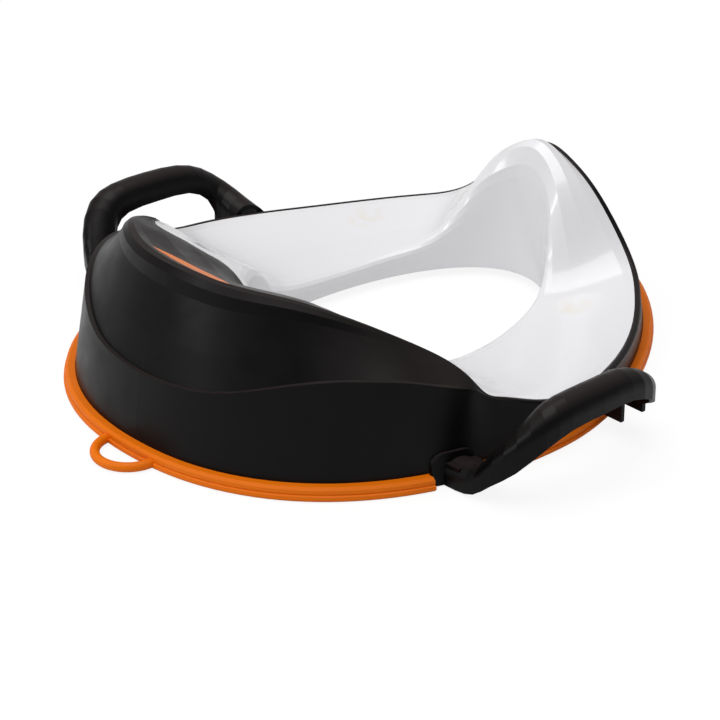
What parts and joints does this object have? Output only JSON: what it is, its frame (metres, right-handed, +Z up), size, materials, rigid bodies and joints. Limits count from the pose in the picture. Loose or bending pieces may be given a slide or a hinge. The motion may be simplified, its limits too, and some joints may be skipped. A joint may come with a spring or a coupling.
{
  "type": "potty training seat",
  "caption": "Child's toilet training seat: padded backrest, egg-shaped opening, high splash guard in front, side handles and a ribbed soft ring with a hanging loop.",
  "frame": {"origin": "on the surface that the seat rests on, below the middle of its outline", "axes": "+Z up, -Y towards the splash guard and the child's knees, +Y towards the backrest, +X towards the handle on the child's left"},
  "size_m": [0.3924, 0.3993, 0.103],
  "materials": {
    "black_shell": "fine matte texture",
    "white_seat": "polished",
    "orange_trim": "soft satin",
    "black_handle": "fine matte texture"
  },
  "bodies": {
    "root": {"outer_shell": "black_shell", "seat_shell": "white_seat", "base_trim": "orange_trim", "handle_left": "black_handle", "handle_right": "black_handle"}
  },
  "joints": []
}
